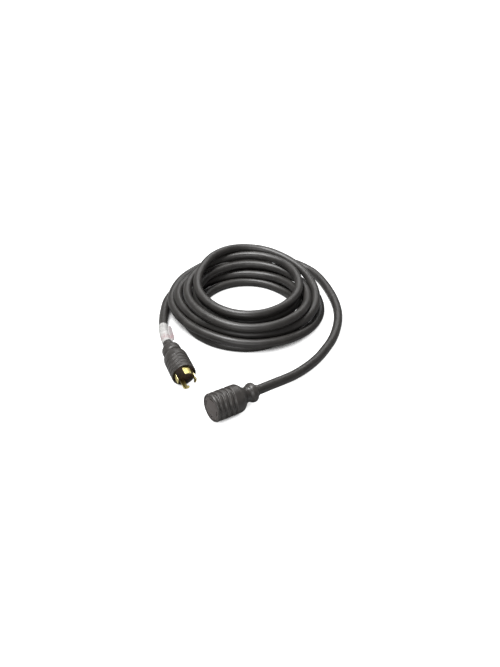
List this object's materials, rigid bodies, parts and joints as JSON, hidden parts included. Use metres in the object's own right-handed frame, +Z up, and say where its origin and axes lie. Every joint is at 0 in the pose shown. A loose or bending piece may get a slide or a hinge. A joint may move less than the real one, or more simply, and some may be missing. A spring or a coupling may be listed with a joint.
{
  "type": "shore power cord",
  "caption": "Heavy rubber-jacketed shore power cord in a loose coil, with a moulded locking plug at one end and a moulded locking connector at the other.",
  "frame": {"origin": "centre of the whole laid-down cord's box, at the surface that it lies on", "axes": "+Z up from that surface; the plug and the connector lie towards -Y, the plug at -X; the coil is towards +Y"},
  "size_m": [0.3731, 0.5238, 0.078],
  "materials": {
    "handle_rubber": "matte moulded rubber",
    "cable_jacket": "satin rubber jacket",
    "inner_mould": "matte hard moulding",
    "blade_carrier": "satin dark brown thermoset",
    "connector_face": "matte hard rubbery moulding",
    "brass": "bright stamped brass",
    "copper": "bare copper strand",
    "wire_black": "glossy insulation",
    "wire_red": "glossy insulation",
    "wire_white": "glossy insulation",
    "wire_green": "glossy insulation",
    "label": "printed tag under clear film"
  },
  "bodies": {
    "root": {"plug_body": "handle_rubber", "plug_inner_mould": "inner_mould", "plug_blade_carrier": "blade_carrier", "blade_ground": "brass", "blade_x": "brass", "blade_neutral": "brass", "blade_y": "brass", "plug_cable_end": "cable_jacket", "plug_wire_ground": "wire_green", "plug_copper_ground": "copper", "plug_wire_x": "wire_black", "plug_copper_x": "copper", "plug_wire_neutral": "wire_white", "plug_copper_neutral": "copper", "plug_wire_y": "wire_red", "plug_copper_y": "copper", "connector_body": "handle_rubber", "connector_inner_mould": "inner_mould", "connector_face": "connector_face", "contact_ground": "brass", "contact_x": "brass", "contact_neutral": "brass", "contact_y": "brass", "connector_cable_end": "cable_jacket", "connector_wire_ground": "wire_green", "connector_copper_ground": "copper", "connector_wire_x": "wire_black", "connector_copper_x": "copper", "connector_wire_neutral": "wire_white", "connector_copper_neutral": "copper", "connector_wire_y": "wire_red", "connector_copper_y": "copper", "cord_plug_tail": "cable_jacket", "warning_label": "label", "cord_coil": "cable_jacket", "cord_connector_tail": "cable_jacket"}
  },
  "joints": []
}
